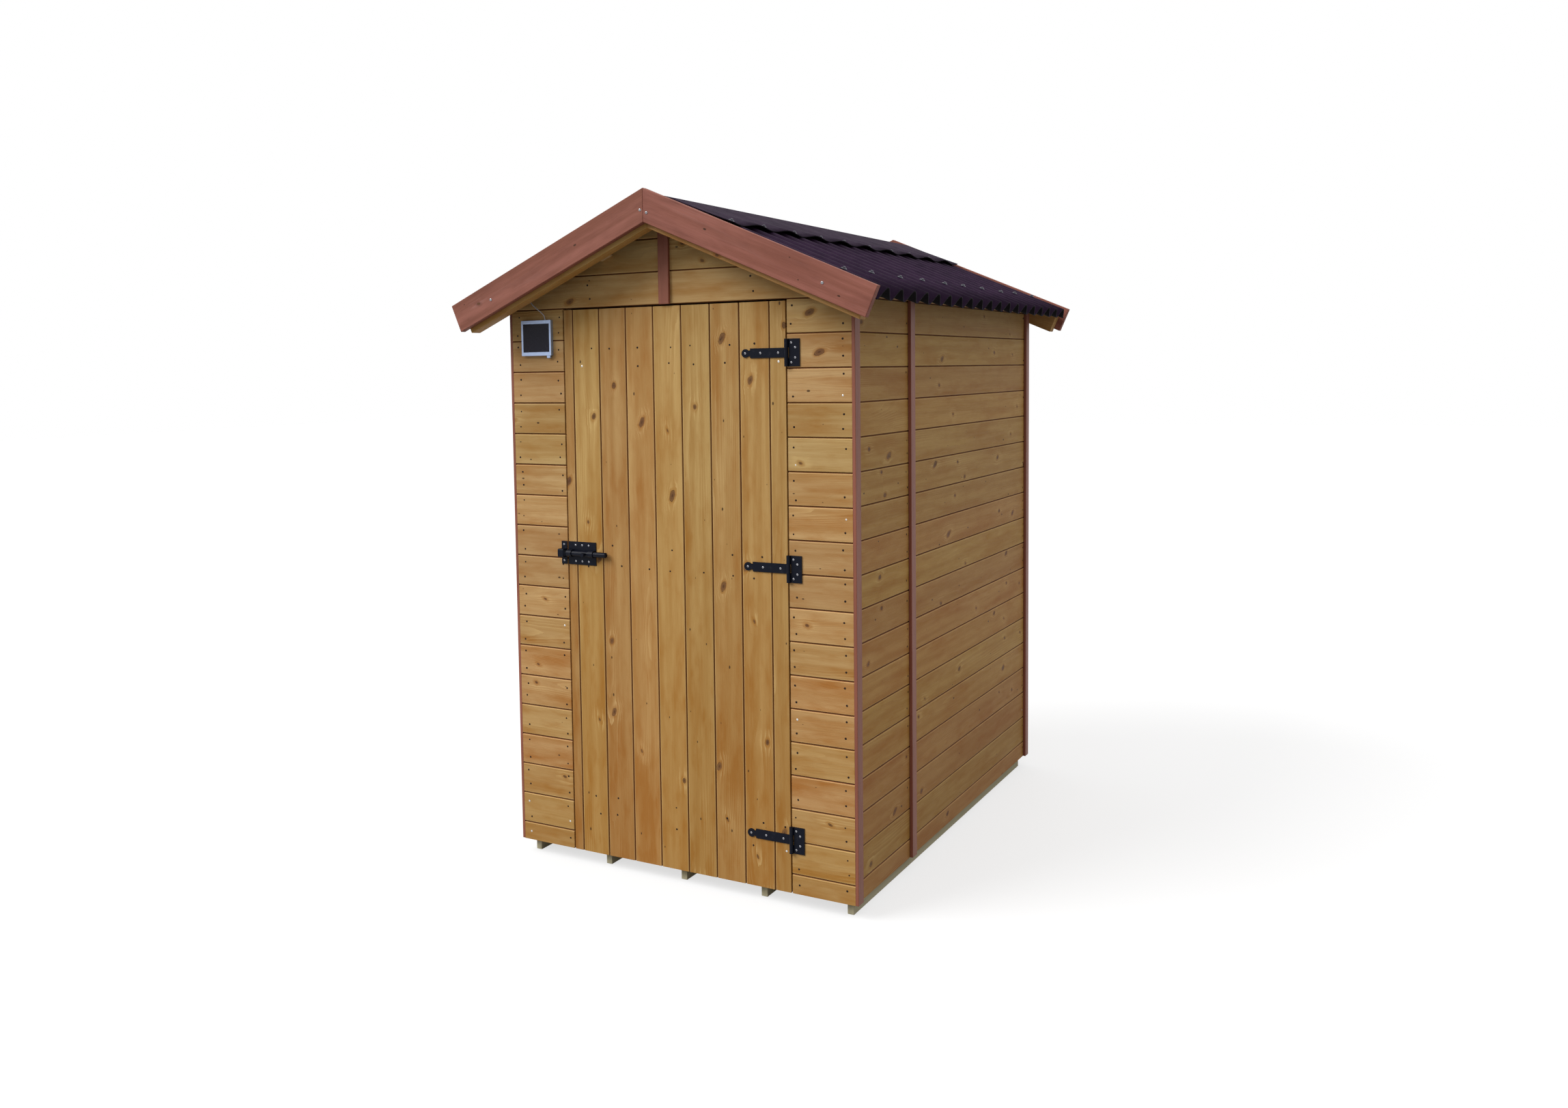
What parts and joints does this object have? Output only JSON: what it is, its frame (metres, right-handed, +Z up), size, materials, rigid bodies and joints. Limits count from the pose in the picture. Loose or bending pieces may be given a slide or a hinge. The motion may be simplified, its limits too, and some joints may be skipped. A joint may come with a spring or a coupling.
{
  "type": "wooden outhouse",
  "caption": "Small boarded outhouse with a gable roof of corrugated sheets, a plank door on T-hinges, a slide bolt and a small solar panel.",
  "frame": {"origin": "on the ground, on the ridge line, midway between the outer faces of the front and back bargeboards", "axes": "+Z up, the door faces -Y, +X to the right as one faces the door"},
  "size_m": [1.4, 1.87, 2.03],
  "materials": {
    "stained_pine": "ochre stain, satin",
    "red_brown_pine": "red-brown stain, satin",
    "bare_pine": "planed, bare",
    "treated_timber": "sawn, green treated",
    "bitumen_sheet": "matte, dark aubergine brown",
    "black_iron": "black powder paint",
    "panel_aluminium": "satin",
    "panel_cell": "gloss",
    "grey_lead": "matte"
  },
  "bodies": {
    "hut": {"front_wall_left": "stained_pine", "front_wall_right": "stained_pine", "front_gable": "stained_pine", "right_wall_front": "stained_pine", "right_wall_rear": "stained_pine", "left_wall_front": "stained_pine", "left_wall_rear": "stained_pine", "back_wall": "stained_pine", "rafter_front_left": "stained_pine", "rafter_front_right": "stained_pine", "rafter_back_left": "stained_pine", "rafter_back_right": "stained_pine", "corner_trims": "red_brown_pine", "side_strips": "red_brown_pine", "gable_strip": "red_brown_pine", "bargeboard_front_left": "red_brown_pine", "bargeboard_front_right": "red_brown_pine", "bargeboard_back_left": "red_brown_pine", "bargeboard_back_right": "red_brown_pine", "floor_deck": "bare_pine", "corner_posts": "bare_pine", "door_posts": "bare_pine", "door_head": "bare_pine", "door_stops": "bare_pine", "side_studs": "bare_pine", "wall_plates": "bare_pine", "purlins": "bare_pine", "bearer_1": "treated_timber", "bearer_2": "treated_timber", "bearer_3": "treated_timber", "bearer_4": "treated_timber", "bearer_5": "treated_timber", "roof_sheet_left": "bitumen_sheet", "roof_sheet_right": "bitumen_sheet", "ridge_cap": "bitumen_sheet", "hinge_plates": "black_iron", "bolt_keeper": "black_iron", "solar_frame": "panel_aluminium", "solar_cell": "panel_cell", "solar_cord": "grey_lead"},
    "door": {"door_boards": "stained_pine", "door_ledges": "bare_pine", "door_braces": "bare_pine", "hinge_straps": "black_iron", "bolt_housing": "black_iron"},
    "bolt": {"bolt": "black_iron"}
  },
  "joints": [
    {"name": "door_hinge", "type": "hinge", "parent": "hut", "child": "door", "pos_m": [0.378, -0.81, 0.967], "axis": [0, 0, 1], "range_deg": [0, 110]},
    {"name": "bolt_slide", "type": "slide", "parent": "door", "child": "bolt", "axis": [-1, 0, 0], "range_m": [0, 0.044]}
  ]
}
